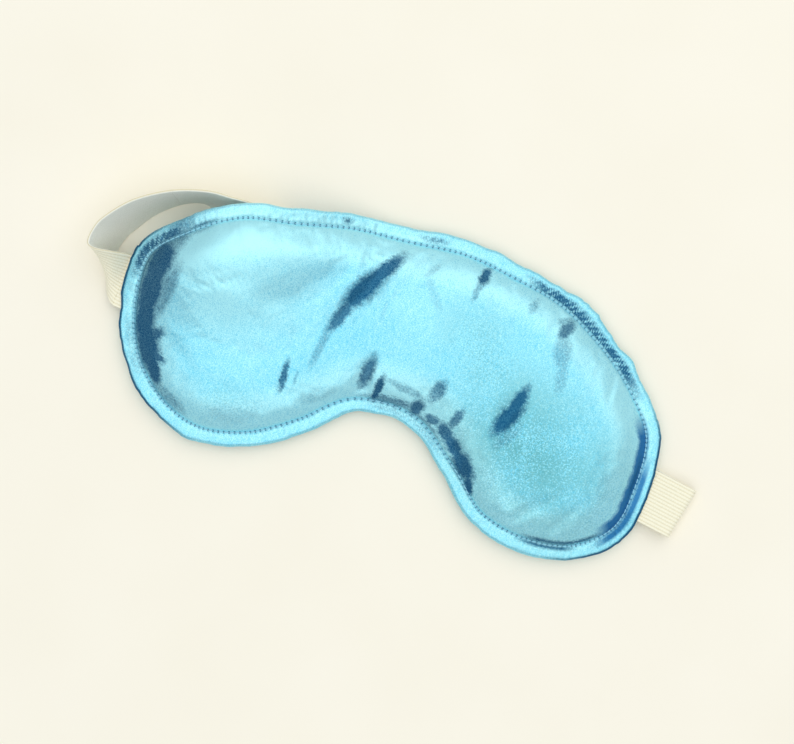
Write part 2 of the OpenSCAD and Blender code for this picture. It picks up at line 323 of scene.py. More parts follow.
def creases(p):
    """How far the creases move the front up or down."""
    dz = np.zeros(len(p))
    ragged = Cloud(5, 3.1)
    for a, b, width, deep, side in CREASES:
        a = np.array(a, float)
        b = np.array(b, float)
        length = np.linalg.norm(b - a)
        ax = (b - a) / length
        across = np.array([-ax[1], ax[0]])
        rel = p[:, :2] - 0.5 * (a + b)
        s = rel @ ax / (0.62 * length)
        q = rel @ across + 0.12 * width * ragged(p[:, 0], p[:, 1])
        taper = np.clip(1 - s * s, 0, 1) ** 2
        dent = np.exp(-(q / width) ** 2)
        ridge_by = abs(side) * np.exp(-((q - np.sign(side) * 2.0 * width) / (1.5 * width)) ** 2)
        dz += deep * taper * (ridge_by - dent)
    return dz


# ---------------------------------------------------------------- cloth simulation of the front
LATTICE = 1.5           # step of the sheet's grid
CLOTH_FRAMES = 24
CLOTH_MOST = 1.2        # a longer simulated move is first cut to this
CLOTH_SHARE = 0.8       # and this share of it is then kept


def lattice():
    xs = np.arange(-108, 106, LATTICE)
    ys = np.arange(-55, 56, LATTICE)
    gx, gy = np.meshgrid(xs, ys, indexing="ij")
    p = np.stack([gx.ravel(), gy.ravel()], 1)
    d = edge_distance(p, 3)
    inside = np.zeros(len(p), bool)
    # even-odd test against the edge
    line = RIM[::3]
    nxt = np.roll(line, -1, 0)
    for (x0, y0), (x1, y1) in zip(line, nxt):
        hit = ((y0 > p[:, 1]) != (y1 > p[:, 1]))
        if y1 != y0:
            hit &= p[:, 0] < (x1 - x0) * (p[:, 1] - y0) / (y1 - y0) + x0
        inside ^= hit
    return xs, ys, p, d, inside


def puff_cloth():
    """The satin front as a cloth sheet held at its edge and topstitching, blown up from below.
    Returns the lattice and how far each of its points moves up; only that part is used."""
    xs, ys, p, d, inside = lattice()
    shape = (len(xs), len(ys))
    moved = np.zeros(len(p))
    use = inside & (d > 0.2)
    idx = -np.ones(len(p), int)
    idx[use] = np.arange(use.sum())
    grid = idx.reshape(shape)
    quads = np.stack([grid[:-1, :-1], grid[1:, :-1], grid[1:, 1:], grid[:-1, 1:]], -1).reshape(-1, 4)
    quads = quads[(quads >= 0).all(1)]
    z = top_z(p[use], d[use])
    start = np.column_stack([p[use], z])
    mat = bpy.data.materials.new("scratch")
    obj = new_piece("front_sheet", start, quads, mat)
    held = np.maximum((d[use] < 1.8) * 1.0, np.exp(-((d[use] - BORDER) / 0.9) ** 4))
    group = obj.vertex_groups.new(name="held")
    for k, w in enumerate(held):
        if w > 0.02:
            group.add([k], float(w), "REPLACE")
    cloth = obj.modifiers.new("cloth", "CLOTH")
    s = cloth.settings
    s.quality = 7
    s.mass = 0.12
    s.tension_stiffness = 18
    s.compression_stiffness = 9
    s.shear_stiffness = 4
    s.bending_stiffness = 0.02
    s.tension_damping = 12
    s.compression_damping = 12
    s.bending_damping = 1.0
    s.air_damping = 3
    s.vertex_group_mass = "held"
    s.pin_stiffness = 1.5
    s.shrink_min = -0.009
    s.use_pressure = True
    s.uniform_pressure_force = 0.9
    s.effector_weights.gravity = 0.0
    cloth.collision_settings.use_collision = False
    cloth.point_cache.frame_start = 1
    cloth.point_cache.frame_end = CLOTH_FRAMES
    scene = bpy.context.scene
    for f in range(1, CLOTH_FRAMES + 1):
        scene.frame_set(f)
    dep = bpy.context.evaluated_depsgraph_get()
    ev = obj.evaluated_get(dep)
    co = np.empty(len(start) * 3)
    ev.data.vertices.foreach_get("co", co)
    co = co.reshape(-1, 3) / MM
    delta = co - start
    size = np.linalg.norm(delta, axis=1, keepdims=True)
    delta *= CLOTH_SHARE * np.minimum(1, CLOTH_MOST / np.maximum(size, 1e-6))
    moved[use] = delta[:, 2]
    scene.frame_set(1)
    bpy.data.objects.remove(obj)
    return xs, ys, moved.reshape(shape)


SHEET_X, SHEET_Y, SHEET_RISE = puff_cloth()


def sheet_rise(p):
    u = np.clip((p[:, 0] - SHEET_X[0]) / LATTICE, 0, len(SHEET_X) - 1.001)
    v = np.clip((p[:, 1] - SHEET_Y[0]) / LATTICE, 0, len(SHEET_Y) - 1.001)
    i = u.astype(int)
    j = v.astype(int)
    fu = u - i
    fv = v - j
    m = SHEET_RISE
    return ((m[i, j] * (1 - fu) + m[i + 1, j] * fu) * (1 - fv)
            + (m[i, j + 1] * (1 - fu) + m[i + 1, j + 1] * fu) * fv)


# ---------------------------------------------------------------- node writing
class Num:
    """A number socket that takes Python arithmetic and adds the Math nodes for it."""

    def __init__(self, tree, socket):
        self.tree = tree
        self.socket = socket

    def _do(self, op, a, b):
        return Num(self.tree, maths(self.tree, op, a, b))

    def __add__(self, o):
        return self._do("ADD", self, o)

    __radd__ = __add__

    def __sub__(self, o):
        return self._do("SUBTRACT", self, o)

    def __rsub__(self, o):
        return self._do("SUBTRACT", o, self)

    def __mul__(self, o):
        return self._do("MULTIPLY", self, o)

    __rmul__ = __mul__

    def sine(self):
        return self._do("SINE", self, 0.0)

    def size(self):
        return self._do("ABSOLUTE", self, 0.0)

    def least(self, o):
        return self._do("MINIMUM", self, o)

    def most(self, o):
        return self._do("MAXIMUM", self, o)


def raw(v):
    return v.socket if isinstance(v, Num) else v


def maths(tree, op, a, b):
    n = tree.nodes.new("ShaderNodeMath")
    n.operation = op
    for i, v in enumerate((a, b)):
        v = raw(v)
        if isinstance(v, bpy.types.NodeSocket):
            tree.links.new(v, n.inputs[i])
        else:
            n.inputs[i].default_value = v
    return n.outputs[0]


class Finish:
    """A material under construction: one method makes any node."""

    def __init__(self, name):
        self.mat = bpy.data.materials.new(name)
        self.mat.use_nodes = True
        self.tree = self.mat.node_tree
        self.tree.nodes.clear()

    def make(self, kind, settings=None, **sockets):
        n = self.tree.nodes.new(kind)
        for key, value in (settings or {}).items():
            setattr(n, key, value)
        for key, value in sockets.items():
            name = key.replace("_", " ")
            at = int(key[1:]) if key[0] == "i" and key[1:].isdigit() else name
            value = raw(value)
            if isinstance(value, bpy.types.NodeSocket):
                self.tree.links.new(value, n.inputs[at])
            else:
                n.inputs[at].default_value = value
        return n

    def at(self, sx=1.0, sy=1.0, sz=1.0):
        """Object coordinates in millimetres, stretched."""
        co = self.make("ShaderNodeTexCoord")
        m = self.make("ShaderNodeMapping", {"vector_type": "TEXTURE"},
                      Vector=co.outputs["Object"], Scale=(sx * MM, sy * MM, sz * MM))
        return m.outputs[0]

    def noise(self, where, scale=1.0, detail=2.0, rough=0.5):
        n = self.make("ShaderNodeTexNoise", Vector=where, Scale=scale, Detail=detail,
                      Roughness=rough)
        return Num(self.tree, n.outputs["Fac"])

    def mix(self, fac, a, b):
        n = self.make("ShaderNodeMix", {"data_type": "RGBA"})
        for i, v in ((0, fac), (6, a), (7, b)):
            v = raw(v)
            if isinstance(v, bpy.types.NodeSocket):
                self.tree.links.new(v, n.inputs[i])
            else:
                n.inputs[i].default_value = v
        return n.outputs[2]

    def attribute(self, name):
        n = self.make("ShaderNodeAttribute", {"attribute_name": name})
        return Num(self.tree, n.outputs["Fac"])

    def region(self, where, spot, soft):
        """1 inside a long oval laid on the object, fading to 0 at its edge."""
        middle, length, width, heading, strength = spot
        m = self.make("ShaderNodeMapping", {"vector_type": "TEXTURE"}, Vector=where,
                      Location=(middle[0], middle[1], 0), Rotation=(0, 0, math.radians(heading)),
                      Scale=(length, width, 1000.0))
        far = self.make("ShaderNodeVectorMath", {"operation": "LENGTH"}, i0=m.outputs[0])
        inside = (1.0 - Num(self.tree, far.outputs["Value"])) * soft
        return inside.most(0.0).least(1.0) * strength

    def patches(self, where, rows):
        """The strongest of several regions; each row ends with its softness."""
        inside = self.region(where, rows[0][:5], rows[0][5])
        for row in rows[1:]:
            inside = inside.most(self.region(where, row[:5], row[5]))
        return inside

    def bump(self, height, distance, strength=1.0):
        n = self.make("ShaderNodeBump", Height=height, Distance=distance, Strength=strength)
        return n.outputs[0]

    def done(self, **sockets):
        out = self.make("ShaderNodeOutputMaterial")
        p = self.make("ShaderNodeBsdfPrincipled", None, **sockets)
        self.tree.links.new(p.outputs[0], out.inputs[0])
        return self.mat


def rgb(r, g, b):
    """A colour from its everyday 0 to 255 numbers."""
    def lin(c):
        c /= 255.0
        return c / 12.92 if c <= 0.04045 else ((c + 0.055) / 1.055) ** 2.4
    return (lin(r), lin(g), lin(b), 1.0)


# ---------------------------------------------------------------- finishes
# painted shade: streaks where the satin turns away from the light, painted in a deep colour: middle,
# half length, half width, heading, strength
PAINTED_SHADE_STREAKS = [
    ((-16.0, 30.5), 12.5, 3.6, 57, 1.0), ((-20.6, 22.0), 14.0, 5.0, 62, 1.0),
    ((-25.2, 10.8), 12.0, 2.9, 70, 0.9), ((-28.6, -2.0), 12.0, 2.0, 82, 0.4),
    ((-37.6, -17.5), 7.6, 1.6, 94, 0.9), ((-33.5, -17.0), 4.0, 0.8, 92, 0.35),
    ((-9.6, -6.0), 8.6, 3.0, 84, 0.9), ((-4.0, -10.6), 7.2, 1.9, 84, 1.0),
    ((2.0, -13.2), 12.0, 2.0, 6, 0.72), ((6.0, -7.5), 10.0, 2.0, -8, 0.45),
    ((11.6, -12.4), 4.4, 3.2, 70, 0.95), ((18.4, -14.5), 4.2, 2.2, -12, 0.85),
    ((26.6, -11.4), 5.6, 2.4, 72, 0.8), ((24.6, -17.6), 5.6, 3.4, -38, 0.95),
    ((29.0, -21.4), 7.4, 3.4, -42, 1.0), ((34.6, -26.6), 9.0, 4.2, -46, 1.0),
    ((39.2, -33.0), 5.0, 1.8, -62, 1.0), ((16.8, -4.2), 6.2, 3.2, 74, 0.75),
    ((45.3, 0.6), 11.0, 3.2, 77, 1.0), ((44.0, -4.4), 11.0, 4.2, 66, 1.0),
    ((19.2, 41.0), 4.6, 2.6, 74, 1.0), ((52.2, 35.6), 4.4, 1.4, 30, 0.4),
    ((18.0, 35.0), 5.6, 1.6, 84, 0.5), ((53.6, 32.6), 5.4, 3.0, 66, 0.85),
    ((54.6, 24.6), 8.0, 4.4, 100, 0.4), ((57.0, 16.0), 8.0, 2.6, 98, 0.28),
    ((39.5, 36.5), 4.0, 2.0, 70, 0.4), ((45.8, -11.0), 8.0, 3.0, 60, 0.3),
    ((0.5, 36.5), 5.0, 1.4, 60, 0.25), ((4.0, 28.0), 8.0, 2.2, -50, 0.15),
    ((-90.0, 16.5), 12.0, 5.6, 66, 0.62), ((-92.8, 6.0), 13.0, 6.8, 80, 1.0),
    ((-93.6, -4.5), 16.0, 6.9, 90, 1.0), ((-92.6, -14.5), 14.0, 5.8, 100, 1.0),
    ((-88.4, -23.6), 14.0, 6.2, 116, 1.0), ((-83.8, -31.0), 9.0, 3.6, 122, 1.0),
    ((-87.0, -19.6), 5.6, 3.0, 46, 0.95), ((-84.4, -26.2), 6.0, 2.6, 163, 0.95),
    ((-87.2, -3.0), 14.0, 3.6, 80, 0.6), ((-76.0, -39.0), 11.0, 3.0, 156, 0.5),
    ((-50.0, -36.0), 14.0, 5.0, 30, 0.12), ((-24.0, -20.0), 9.0, 3.0, 40, 0.2),
]

# other places on the front, for painted shade and, in DULL, a grey-teal mottle: middle, half length,
# half width, heading, strength, softness
BESIDE_STITCHING = [
    ((-98, -8), 34, 9, 96, 1.0, 2.0), ((-84, 26), 12, 6, 45, 1.0, 2.0),
    ((95, -10), 10, 8, 94, 0.7, 2.0), ((80, -41), 19, 7, 16, 1.0, 2.5),
    ((8, -17), 20, 6, -10, 0.7, 2.0),
]
TURNED_BORDER = [((-84, 27), 13, 6, 45, 1.0, 2.0), ((74, -45.5), 14, 6, 6, 1.0, 2.0)]
PUCKERED = [
    ((60, 37), 36, 11, -33, 1.0, 3.0), ((-96, 12), 17, 7, 62, 0.95, 2.5),
    ((-94, -26), 14, 5, 120, 0.3, 2.0), ((97, -30), 16, 6, 60, 0.4, 2.0),
    ((10, -20), 22, 6, -15, 0.35, 2.0), ((-3, 49.5), 8, 4, 5, 0.7, 2.0),
    ((-35, 44.5), 3, 3, 15, 0.8, 2.0),
]
LIPPED = [((-92, -18), 50, 26, 118, 1.0, 2.5), ((96, -18), 42, 22, 70, 1.0, 2.5)]
DULL = [
    ((56, -14), 52, 36, -28, 1.0, 1.1), ((30, 12), 30, 20, -40, 0.8, 1.0),
    ((-60, -34), 26, 12, 10, 0.5, 1.0),
]
SATIN_LOW = rgb(72, 186, 221)
SATIN_HIGH = rgb(180, 243, 251)
# colours of the painted shade: the deepest one, and a lighter one for the right end
SATIN_PAINTED_SHADE = rgb(1, 78, 120)
SATIN_PAINTED_MID_SHADE = rgb(14, 104, 168)
SATIN_DULL = rgb(84, 156, 160)


def satin_finish(name, front):
    f = Finish(name)
    co = f.at()
    cloudy = f.noise(f.at(26, 26, 26), 1.0, 3.0)
    slub = f.noise(f.at(0.55, 2.6, 1.0), 1.0, 2.0)
    grain = f.noise(f.at(0.36, 0.42, 0.42), 1.0, 2.0, 0.7)
    tone = (0.56 + (cloudy - 0.5) * 0.5 + (slub - 0.5) * 0.5 + (grain - 0.5) * 1.9)
    if front:
        edge_in = f.attribute("edge_in")
        # painted light: the steep side of the cushion beside the stitching is painted lighter so it
        # looks as bright as its top, the left lobe and the top border are painted lighter, and the
        # right lobe is painted darker
        side = ((1.6 - (edge_in - 11.0).size() * 0.16).least(1.0)).most(0.0)
        tone = tone + side * 0.32 + f.region(co, ((-66, 14), 42, 34, 0, 0.26), 1.5)
        tone = tone + f.region(co, ((-40, 46), 70, 12, 6, 0.16), 2.0)
        tone = tone - f.region(co, ((58, -16), 44, 34, -20, 0.12), 1.5)
    colour = f.mix(tone.least(1.0).most(0.0), SATIN_LOW, SATIN_HIGH)
    rough = 0.40 + (grain - 0.5) * 0.2
    if front:
        wide = f.make("ShaderNodeTexNoise", Vector=f.at(3.2, 1.7, 3.0), Scale=1.0, Detail=5.0,
                      Roughness=0.8)
        shift = f.make("ShaderNodeVectorMath", {"operation": "MULTIPLY_ADD"}, i0=wide.outputs[1],
                       i1=(4.0, 4.6, 0.0), i2=(-2.0, -2.3, 0.0)).outputs[0]
        warped = f.make("ShaderNodeVectorMath", {"operation": "ADD"}, i0=co,
                        i1=shift).outputs[0]
        # painted shade: the streaks, with wavy edges
        painted_shade = f.patches(warped, [streak + (2.0,) for streak in PAINTED_SHADE_STREAKS])
        broad = f.noise(f.at(5.0, 5.0, 5.0), 1.0, 2.0)
        stitch = f.attribute("stitch_count")
        # painted shade: where the puffed satin rolls over beside the stitching at both ends and in the
        # notch it is painted with deep shade, and at the right end a painted mid shade runs along the
        # stitching and the rolled edge
        beside = 1.0 - ((edge_in - 6.9 + (grain - 0.5) * 1.6).size() * 0.85).least(1.0)
        bend = (edge_in - 7.0 + (broad - 0.5) * 2.4 + (grain - 0.5) * 1.6).size()
        bend = ((2.9 - bend) * 0.62).least(1.0).most(0.0)
        painted_mid_shade = bend * f.region(co, ((96, -13), 29, 13, 93, 0.95), 3.0)
        rim = ((1.4 - (edge_in - 3.7 + (grain - 0.5) * 1.2).size()) * 1.3).least(1.0).most(0.0)
        painted_mid_shade = painted_mid_shade.most(rim * f.region(co, ((97, -22), 24, 13, 100, 0.9), 2.5))
        colour = f.mix(painted_mid_shade, colour, SATIN_PAINTED_MID_SHADE)
        painted_shade = painted_shade.most(beside * f.patches(co, BESIDE_STITCHING))
        # painted shade where the border turns over
        turned = 1.0 - ((edge_in - 4.7 + (grain - 0.5) * 1.2).size() * 0.8).least(1.0)
        painted_shade = painted_shade.most(turned * f.patches(co, TURNED_BORDER))
        # painted shade in the puckers of the border
        slant = ((stitch * 0.8 + edge_in * 0.36 + (slub - 0.5) * 0.8) * (2 * math.pi)).sine()
        cross = ((stitch * 2.1 - edge_in * 0.5 + (slub - 0.5)) * (2 * math.pi)).sine()
        pucker_shade = (1.05 + slant * 0.34 + cross * 0.3 + (grain - 0.5) * 1.6 + (broad - 0.5) * 2.6)
        pucker_shade = (pucker_shade * ((edge_in - 1.4) * 0.5).most(0.0).least(1.0)).most(0.0).least(1.0)
        in_border = ((5.4 - edge_in) * 1.5).most(0.0).least(1.0)
        painted_shade = painted_shade.most(pucker_shade * f.patches(co, PUCKERED) * in_border)
        # painted shade in the needle holes
        hole = (stitch * (2 * math.pi) + math.pi / 2).sine()
        hole = ((hole - 0.35) * 2.2).most(0.0).least(1.0)
        on_line = ((0.64 - (edge_in - BORDER).size()) * 3.0).most(0.0).least(1.0)
        painted_shade = painted_shade.most(hole * on_line * 0.8)
        # painted shade: the rolled edge painted as a thin line of shade
        lip_shade = ((1.25 - edge_in) * 2.2).most(0.0).least(1.0)
        painted_shade = painted_shade.most(lip_shade * f.patches(co, LIPPED))
        speck = f.noise(f.at(0.6, 0.7, 0.7), 1.0, 3.0, 0.8)
        dull = f.patches(co, DULL) * ((speck - 0.47) * 6.0 + (cloudy - 0.45) * 4.0).most(0.0).least(1.0)
        colour = f.mix(dull * 0.8, colour, SATIN_DULL)
        # the painted shade goes into the colour; the edge of a shade streak breaks up into the weave
        painted_shade = painted_shade + painted_shade * (1.0 - painted_shade) * (speck - 0.5) * 7.0
        colour = f.mix((painted_shade * (0.92 + (grain - 0.5) * 0.8)).least(1.0).most(0.0), colour, SATIN_PAINTED_SHADE)
    normal = f.bump(grain * 0.6 + slub * 0.4, 0.00010, 0.5)
    return f.done(Base_Color=colour, Metallic=0.55, Roughness=rough, Normal=normal,
                  Sheen_Weight=0.02, Sheen_Roughness=0.4,
                  Specular_IOR_Level=0.12)


def elastic_finish(name):
    f = Finish(name)
    rib = f.attribute("rib")
    bead = f.attribute("bead")
    fuzz = f.noise(f.at(0.35, 0.35, 0.35), 1.0, 2.0)
    inner = f.attribute("inner_face")
    # painted shade: darker ivory where the band's surface is low, in the grooves between the ribs and
    # at the selvedge edges, and lighter on the raised weave beads
    tone = ((rib - 0.4) * 1.5 + bead * 0.2 + (fuzz - 0.5) * 0.7).least(1.0).most(0.0)
    colour = f.mix(tone, rgb(222, 213, 177), rgb(253, 249, 226))
    colour = f.mix(inner * 0.85, colour, f.mix(fuzz, rgb(232, 232, 220), rgb(254, 254, 246)))
    normal = f.bump(fuzz * 0.5 + bead * 0.5, 0.00012, 0.5)
    return f.done(Base_Color=colour, Roughness=(0.72 + (fuzz - 0.5) * 0.2), Normal=normal,
                  Sheen_Weight=0.2, Sheen_Roughness=0.5)


def thread_finish(name):
    f = Finish(name)
    ply = f.noise(f.at(0.12, 0.3, 0.2), 1.0, 2.0)
    colour = f.mix(ply, rgb(104, 184, 214), rgb(176, 230, 244))
    return f.done(Base_Color=colour, Roughness=(0.42 + (ply - 0.5) * 0.2),
                  Normal=f.bump(ply, 0.00008, 0.5), Sheen_Weight=0.3)


def wadding_finish(name):
    f = Finish(name)
    fibre = f.noise(f.at(0.5, 2.5, 1.0), 1.0, 4.0, 0.7)
    colour = f.mix(fibre, rgb(214, 214, 210), rgb(248, 248, 246))
    return f.done(Base_Color=colour, Roughness=(0.85 + (fibre - 0.5) * 0.2),
                  Normal=f.bump(fibre, 0.0006, 0.7), Sheen_Weight=0.3)


def lining_finish(name):
    f = Finish(name)
    yarn = f.noise(f.at(0.3, 0.6, 0.6), 1.0, 2.0)
    colour = f.mix(yarn, rgb(18, 19, 23), rgb(42, 44, 50))
    return f.done(Base_Color=colour, Roughness=(0.7 + (yarn - 0.5) * 0.2),
                  Normal=f.bump(yarn, 0.0001, 0.6))


def table_finish(name):
    f = Finish(name)
    mottle = f.noise(f.at(60, 60, 60), 1.0, 2.0)
    colour = f.mix(mottle, rgb(247, 241, 224), rgb(252, 247, 233))
    return f.done(Base_Color=colour, Roughness=0.85)


SATIN_FRONT = satin_finish("satin_front", True)
SATIN_BACK = satin_finish("satin_back", False)
ELASTIC = elastic_finish("ribbed_elastic")
SEWING = thread_finish("sewing_thread")
WADDING = wadding_finish("soft_wadding")
LINING_CLOTH = lining_finish("blackout_cloth")
TABLE_TOP = table_finish("pale_table")


# ---------------------------------------------------------------- closed layers from rings
def band_faces(n, a, b):
    i = np.arange(n)
    j = (i + 1) % n
    return np.stack([a * n + i, a * n + j, b * n + j, b * n + i], 1)


def zip_faces(ring, base, right):
    """Triangles across the innermost ring, walked from its left end to its right end."""
    n = len(ring)
    top = list(range(0, right + 1))
    low = [0] + list(range(n - 1, right - 1, -1))
    i = j = 0
    out = []
    while i < len(top) - 1 or j < len(low) - 1:
        go_top = j == len(low) - 1 or (
            i < len(top) - 1 and ring[top[i + 1]][0] <= ring[low[j + 1]][0])
        a, b = top[i], low[j]
        if go_top:
            i += 1
            c = top[i]
        else:
            j += 1
            c = low[j]
        if len({a, b, c}) == 3:
            out.append([base + a, base + c, base + b])
    return out


def quilt(name, rings, material, right):
    """Closed piece from rings that run from the middle outwards, round the edge and back."""
    n = len(rings[0])
    faces = []
    for k in range(len(rings) - 1):
        faces += band_faces(n, k, k + 1).tolist()
    caps = [f[::-1] for f in zip_faces(rings[0], 0, right)]
    caps += zip_faces(rings[-1], (len(rings) - 1) * n, right)
    return new_piece(name, np.concatenate(rings), caps + faces, material)


class Layer:
    """All the rings of one fineness: where they are and how high each surface is there."""

    def __init__(self, spans, near, far):
        self.rim = rim_line(spans)
        self.normal, self.ray, self.depth = frame_of(self.rim, spans)
        self.right = 12 * spans
        self.places = []
        self.near = near
        for d in near:
            self.places.append(plan(self.rim, self.normal, self.ray, self.depth, d))
        for share in far:
            self.places.append(plan(self.rim, self.normal, self.ray, self.depth, near[-1], share))
        self.dist = []
        for d, p in zip(list(near) + [None] * len(far), self.places):
            self.dist.append(np.full(len(p), d) if d is not None and d < 9
                             else edge_distance(p, 2))

    def rings(self, height, which=None):
        which = range(len(self.places)) if which is None else which
        out = []
        for k in which:
            p = self.places[k]
            out.append(np.column_stack([p, height(p, self.dist[k])]))
        return out


def core_z(p, d):
    return 0.55 * bottom_z(p, d) + 0.45 * top_z(p, d)


def hem_rings(layer, side, up, ks):
    return [np.column_stack([layer.places[k],
                             mid_z(layer.places[k]) + side * (gape(layer.places[k]) + up)])
            for k in ks]


PUCKER_A = Cloud(11, 3.4)
PUCKER_B = Cloud(12, 1.7)
SOFT = Cloud(13, 22.0)
SOFT2 = Cloud(14, 9.0)
LINE_SHARE = 0.945      # length of the stitch line, as a share of the edge's
SEAM_SHARE = 0.99       # the same for the hidden seam
HOLES = int(round(EDGE_LEN * LINE_SHARE / STITCH))


def front_height(p, d):
    """The satin front with everything that shapes it, apart from single stitches."""
    inner = ease((d - BORDER) / 9)
    z = top_z(p, d) + sheet_rise(p) + creases(p) * ease((d - 2.0) / 3.5)
    z += inner * (0.35 * SOFT(p[:, 0], p[:, 1]) + 0.12 * SOFT2(p[:, 0], p[:, 1]))
    return z


def stitched(layer, rings, side):
    """Needle holes and puckers along the topstitching, and the puffed cloth between them."""
    s = np.arange(layer.rim.shape[0]) / layer.rim.shape[0] * HOLES
    hole = 0.5 + 0.5 * np.cos(2 * np.pi * s)
    out = []
    for k, r in enumerate(rings):
        r = r.copy()
        d = layer.dist[k]
        u = s * STITCH
        near = np.exp(-((d - BORDER) / 0.55) ** 2)
        side_by = np.exp(-((np.abs(d - BORDER) - 1.5) / 1.1) ** 2)
        fan = np.exp(-((np.abs(d - BORDER) - 2.2) / 1.9) ** 2)
        dz = -0.34 * near * hole ** 2 - 0.10 * side_by * hole
        dz += fan * (0.16 * PUCKER_A(u, 3 * np.sign(d - BORDER)) +
                     0.08 * PUCKER_B(u, 9 * np.sign(d - BORDER)))
        dz *= ease((d - 0.4) / 1.2)
        r[:, 2] += side * dz
        # the outer edge isn't a clean line: the rolled seam wanders a little
        edge = np.exp(-(d / 2.2) ** 2)
        gather = 1 + 1.6 * np.exp(-((r[:, 0] - 62) / 24) ** 2 - ((r[:, 1] - 38) / 18) ** 2)
        wander = gather * (0.45 * PUCKER_A(0.5 * u, 40.0) + 0.15 * PUCKER_B(u, 60.0))
        r[:, :2] += layer.normal * (edge * wander)[:, None]
        out.append(r)
    return out


NEAR = [0.0, 0.12, 0.35, 0.7, 1.1, 1.75, 2.3, 2.9, 3.5, 4.1, 4.6, 4.95, 5.2, 5.5, 5.8, 6.05, 6.4,
        6.9, 7.5, 8.3, 9.2, 10.2, 11.2, 12.2]
FAR = list(np.linspace(0.03, 0.985, 34))
fine = Layer(42, NEAR, FAR)
KN = len(NEAR)
KF = len(NEAR) + len(FAR)


def make_front():
    outer = stitched(fine, fine.rings(front_height), 1)
    outer[0][:, 2] = gape(fine.places[0]) + mid_z(fine.places[0])
    skin = [0, 3, 5, 8, 11, 13, 15, 17, 19, 21] + list(range(23, KF, 2))
    inner = []
    for k in skin[2:]:
        r = outer[k].copy()
        r[:, 2] -= SATIN
        inner.append(r)
    turn_in = [4, 9, KN - 5]
    hem = hem_rings(fine, 1, 0.0, turn_in) + hem_rings(fine, 1, SATIN, turn_in[::-1])
    rings = outer[::-1] + hem + inner
    obj = quilt("mask_front_satin", rings, SATIN_FRONT, fine.right)
    ks = list(range(KF - 1, -1, -1)) + turn_in + turn_in[::-1] + skin[2:]
    add_number(obj, "edge_in", np.concatenate([fine.dist[k] for k in ks]))
    add_number(obj, "stitch_count", np.tile(np.arange(NR) / NR * HOLES, len(ks)))
    return obj, outer


def make_back():
    near = NEAR[::2]
    layer = Layer(14, near, list(np.linspace(0.05, 0.985, 16)))
    under = stitched(layer, layer.rings(bottom_z), -1)
    under[0][:, 2] = mid_z(layer.places[0]) - gape(layer.places[0])
    for r in under:
        r[:, 2] = np.maximum(r[:, 2], 0.0)
    upper = []
    for r in under[2:]:
        r = r.copy()
        r[:, 2] += SATIN
        upper.append(r)
    turn_in = [2, 5, len(near) - 3]
    hem = hem_rings(layer, -1, SATIN, turn_in) + hem_rings(layer, -1, 0.0, turn_in[::-1])
    rings = upper[::-1] + hem + under
    return quilt("mask_back_satin", rings, SATIN_BACK, layer.right), layer


def make_padding(layer):
    """Two waddings and the lining between them."""
    first = next(k for k, d in enumerate(layer.near) if d >= PAD_IN)
    ks = list(range(first, len(layer.places)))
    gap = LINING / 2 + LOOSE
    top = layer.rings(lambda p, d: front_height(p, d) - SATIN - 0.45, ks)
    core_hi = layer.rings(lambda p, d: core_z(p, d) + gap, ks)
    core_lo = layer.rings(lambda p, d: core_z(p, d) - gap, ks)
    low = layer.rings(lambda p, d: bottom_z(p, d) + SATIN + 0.3, ks)
    for t, c in zip(top, core_hi):
        t[:, 2] = np.maximum(t[:, 2], c[:, 2] + 0.3)
    for t, c in zip(low, core_lo):
        t[:, 2] = np.minimum(t[:, 2], c[:, 2] - 0.3)
    front = quilt("front_padding", top[::-1] + core_hi, WADDING, layer.right)
    back = quilt("back_padding", core_lo[::-1] + low, WADDING, layer.right)
    sheet_hi = layer.rings(lambda p, d: core_z(p, d) + LINING / 2, ks)
    sheet_lo = layer.rings(lambda p, d: core_z(p, d) - LINING / 2, ks)
    lining = quilt("blackout_layer", sheet_hi[::-1] + sheet_lo, LINING_CLOTH, layer.right)
    return front, back, lining


front, front_rings = make_front()
back, coarse = make_back()
front_pad, back_pad, lining = make_padding(coarse)


# ---------------------------------------------------------------- topstitching
def stitch_mesh():
    """One stitch: a thread that rises out of one hole and goes down the next, 1 mm long."""
    sides = 7
    steps = 9
    pts = []
    for k in range(steps + 1):
        t = k / steps
        bow = math.sin(math.pi * t)
        z = 0.62 * bow ** 0.45 - 0.42
        r = 0.5 * (0.62 + 0.38 * bow)
        for m in range(sides):
            a = 2 * math.pi * m / sides
            pts.append((t - 0.5, r * math.cos(a), z + r * math.sin(a)))
    faces = []
    for k in range(steps):
        for m in range(sides):
            a = k * sides + m
            b = k * sides + (m + 1) % sides
            faces.append((a, b, b + sides, a + sides))
    faces.append(tuple(range(sides))[::-1])
    faces.append(tuple(range(steps * sides, (steps + 1) * sides)))
    mesh = bpy.data.meshes.new("one_stitch")
    mesh.from_pydata(pts, [], faces)
    mesh.polygons.foreach_set("use_smooth", [True] * len(mesh.polygons))
    return bpy.data.objects.new("one_stitch", mesh)


